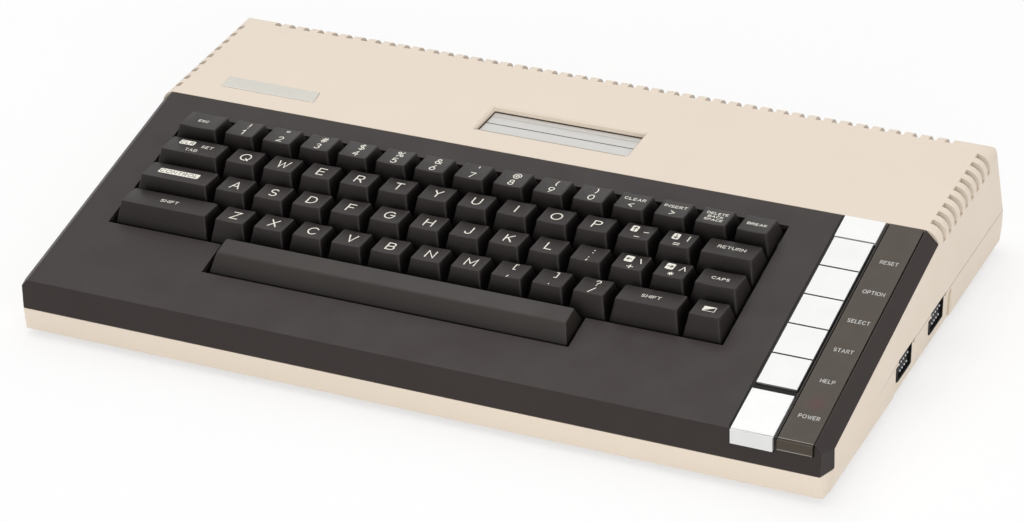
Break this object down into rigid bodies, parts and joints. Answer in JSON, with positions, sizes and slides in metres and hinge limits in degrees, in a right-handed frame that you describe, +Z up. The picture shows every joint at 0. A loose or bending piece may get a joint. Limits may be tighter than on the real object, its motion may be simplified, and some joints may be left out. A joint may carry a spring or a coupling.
{
  "type": "vintage home computer",
  "caption": "wedge-shaped home computer with a dark keyboard bezel, a column of silver console keys, a sprung cartridge door and vents along the rear",
  "frame": {"origin": "middle of the footprint, on the surface that the rubber feet stand on", "axes": "+X runs to the right along the keyboard, +Y runs to the rear, +Z is up"},
  "size_m": [0.378, 0.2322, 0.0608],
  "materials": {
    "cream_plastic": "fine-grained moulded cream plastic",
    "dark_plastic": "fine-grained moulded dark brown-grey plastic",
    "key_plastic": "satin dark plastic caps with light legends",
    "smoked_plastic": "satin smoked strip",
    "silver_plate": "brushed silver",
    "door_metal": "satin silver grey",
    "steel": "zinc plated",
    "black_plastic": "moulded black",
    "white_plastic": "moulded white",
    "circuit_board": "green solder mask",
    "component_blue": "sleeved components",
    "shield_metal": "tinned sheet",
    "grey_cable": "flat grey cable",
    "red_lamp": "dark red lens",
    "rubber": "moulded rubber"
  },
  "bodies": {
    "case": {"bottom_case": "cream_plastic", "top_case": "cream_plastic", "keyboard_bezel": "dark_plastic", "label_strip": "smoked_plastic", "console_plates": "silver_plate", "badge_plate": "silver_plate", "door_pins": "steel", "door_springs": "steel", "cartridge_connector": "black_plastic", "main_board": "circuit_board", "board_chips": "black_plastic", "board_parts": "component_blue", "upper_shield": "shield_metal", "lower_shield": "shield_metal", "rf_modulator": "shield_metal", "controller_ports": "black_plastic", "peripheral_port": "black_plastic", "video_socket": "black_plastic", "power_socket": "black_plastic", "power_switch_frame": "black_plastic", "channel_switch_frame": "black_plastic", "switch_plate": "shield_metal", "key_switches": "black_plastic", "keyboard_circuit": "circuit_board", "ribbon_cable": "grey_cable", "console_switches": "circuit_board", "power_lamp": "red_lamp", "rubber_feet": "rubber", "case_screws": "steel", "board_screws": "steel", "keycaps_number_row": "key_plastic", "keycaps_upper_row": "key_plastic", "keycaps_home_row": "key_plastic", "keycaps_lower_row": "key_plastic"},
    "key_escape": {"key_escape": "key_plastic"},
    "key_clear": {"key_clear": "key_plastic"},
    "key_insert": {"key_insert": "key_plastic"},
    "key_delete": {"key_delete": "key_plastic"},
    "key_break": {"key_break": "key_plastic"},
    "key_tab": {"key_tab": "key_plastic"},
    "key_minus": {"key_minus": "key_plastic"},
    "key_equals": {"key_equals": "key_plastic"},
    "key_return": {"key_return": "key_plastic"},
    "key_control": {"key_control": "key_plastic"},
    "key_plus": {"key_plus": "key_plastic"},
    "key_asterisk": {"key_asterisk": "key_plastic"},
    "key_caps": {"key_caps": "key_plastic"},
    "key_shift_left": {"key_shift_left": "key_plastic"},
    "key_shift_right": {"key_shift_right": "key_plastic"},
    "key_inverse": {"key_inverse": "key_plastic"},
    "space_bar": {"space_bar": "key_plastic"},
    "console_reset": {"console_reset": "silver_plate"},
    "console_option": {"console_option": "silver_plate"},
    "console_select": {"console_select": "silver_plate"},
    "console_start": {"console_start": "silver_plate"},
    "console_help": {"console_help": "silver_plate"},
    "cartridge_door_front": {"cartridge_door_front": "door_metal"},
    "cartridge_door_rear": {"cartridge_door_rear": "door_metal"},
    "power_rocker": {"power_rocker": "black_plastic"},
    "channel_slider": {"channel_slider": "white_plastic"}
  },
  "joints": [
    {"name": "key_escape_press", "type": "slide", "parent": "case", "child": "key_escape", "axis": [0, -0.2079, 0.9781], "range_m": [-0.0038, 0], "stiffness_N_per_m": 80, "springref_m": 0.004},
    {"name": "key_clear_press", "type": "slide", "parent": "case", "child": "key_clear", "axis": [0, -0.2079, 0.9781], "range_m": [-0.0038, 0], "stiffness_N_per_m": 80, "springref_m": 0.004},
    {"name": "key_insert_press", "type": "slide", "parent": "case", "child": "key_insert", "axis": [0, -0.2079, 0.9781], "range_m": [-0.0038, 0], "stiffness_N_per_m": 80, "springref_m": 0.004},
    {"name": "key_delete_press", "type": "slide", "parent": "case", "child": "key_delete", "axis": [0, -0.2079, 0.9781], "range_m": [-0.0038, 0], "stiffness_N_per_m": 80, "springref_m": 0.004},
    {"name": "key_break_press", "type": "slide", "parent": "case", "child": "key_break", "axis": [0, -0.2079, 0.9781], "range_m": [-0.0038, 0], "stiffness_N_per_m": 80, "springref_m": 0.004},
    {"name": "key_tab_press", "type": "slide", "parent": "case", "child": "key_tab", "axis": [0, -0.2079, 0.9781], "range_m": [-0.0038, 0], "stiffness_N_per_m": 80, "springref_m": 0.004},
    {"name": "key_minus_press", "type": "slide", "parent": "case", "child": "key_minus", "axis": [0, -0.2079, 0.9781], "range_m": [-0.0038, 0], "stiffness_N_per_m": 80, "springref_m": 0.004},
    {"name": "key_equals_press", "type": "slide", "parent": "case", "child": "key_equals", "axis": [0, -0.2079, 0.9781], "range_m": [-0.0038, 0], "stiffness_N_per_m": 80, "springref_m": 0.004},
    {"name": "key_return_press", "type": "slide", "parent": "case", "child": "key_return", "axis": [0, -0.2079, 0.9781], "range_m": [-0.0038, 0], "stiffness_N_per_m": 80, "springref_m": 0.004},
    {"name": "key_control_press", "type": "slide", "parent": "case", "child": "key_control", "axis": [0, -0.2079, 0.9781], "range_m": [-0.0038, 0], "stiffness_N_per_m": 80, "springref_m": 0.004},
    {"name": "key_plus_press", "type": "slide", "parent": "case", "child": "key_plus", "axis": [0, -0.2079, 0.9781], "range_m": [-0.0038, 0], "stiffness_N_per_m": 80, "springref_m": 0.004},
    {"name": "key_asterisk_press", "type": "slide", "parent": "case", "child": "key_asterisk", "axis": [0, -0.2079, 0.9781], "range_m": [-0.0038, 0], "stiffness_N_per_m": 80, "springref_m": 0.004},
    {"name": "key_caps_press", "type": "slide", "parent": "case", "child": "key_caps", "axis": [0, -0.2079, 0.9781], "range_m": [-0.0038, 0], "stiffness_N_per_m": 80, "springref_m": 0.004},
    {"name": "key_shift_left_press", "type": "slide", "parent": "case", "child": "key_shift_left", "axis": [0, -0.2079, 0.9781], "range_m": [-0.0038, 0], "stiffness_N_per_m": 80, "springref_m": 0.004},
    {"name": "key_shift_right_press", "type": "slide", "parent": "case", "child": "key_shift_right", "axis": [0, -0.2079, 0.9781], "range_m": [-0.0038, 0], "stiffness_N_per_m": 80, "springref_m": 0.004},
    {"name": "key_inverse_press", "type": "slide", "parent": "case", "child": "key_inverse", "axis": [0, -0.2079, 0.9781], "range_m": [-0.0038, 0], "stiffness_N_per_m": 80, "springref_m": 0.004},
    {"name": "space_bar_press", "type": "slide", "parent": "case", "child": "space_bar", "axis": [0, -0.2079, 0.9781], "range_m": [-0.0038, 0], "stiffness_N_per_m": 150, "springref_m": 0.004},
    {"name": "console_reset_press", "type": "slide", "parent": "case", "child": "console_reset", "axis": [0, -0.2079, 0.9781], "range_m": [-0.0022, 0], "stiffness_N_per_m": 150, "springref_m": 0.003},
    {"name": "console_option_press", "type": "slide", "parent": "case", "child": "console_option", "axis": [0, -0.2079, 0.9781], "range_m": [-0.0022, 0], "stiffness_N_per_m": 150, "springref_m": 0.003},
    {"name": "console_select_press", "type": "slide", "parent": "case", "child": "console_select", "axis": [0, -0.2079, 0.9781], "range_m": [-0.0022, 0], "stiffness_N_per_m": 150, "springref_m": 0.003},
    {"name": "console_start_press", "type": "slide", "parent": "case", "child": "console_start", "axis": [0, -0.2079, 0.9781], "range_m": [-0.0022, 0], "stiffness_N_per_m": 150, "springref_m": 0.003},
    {"name": "console_help_press", "type": "slide", "parent": "case", "child": "console_help", "axis": [0, -0.2079, 0.9781], "range_m": [-0.0022, 0], "stiffness_N_per_m": 150, "springref_m": 0.003},
    {"name": "front_door_swing", "type": "hinge", "parent": "case", "child": "cartridge_door_front", "pos_m": [0.0009, 0.03913, 0.05272], "axis": [1, 0, 0], "range_deg": [-85, 0], "stiffness_Nm_per_rad": 0.0005, "springref_deg": 28.65},
    {"name": "rear_door_swing", "type": "hinge", "parent": "case", "child": "cartridge_door_rear", "pos_m": [0.0009, 0.05653, 0.05272], "axis": [1, 0, 0], "range_deg": [0, 85], "stiffness_Nm_per_rad": 0.0005, "springref_deg": -28.65},
    {"name": "power_rocker_tilt", "type": "hinge", "parent": "case", "child": "power_rocker", "pos_m": [-0.112, 0.10815, 0.0163], "axis": [0, 0, 1], "range_deg": [-14, 0]},
    {"name": "channel_slide", "type": "slide", "parent": "case", "child": "channel_slider", "axis": [1, 0, 0], "range_m": [0, 0.004]}
  ]
}
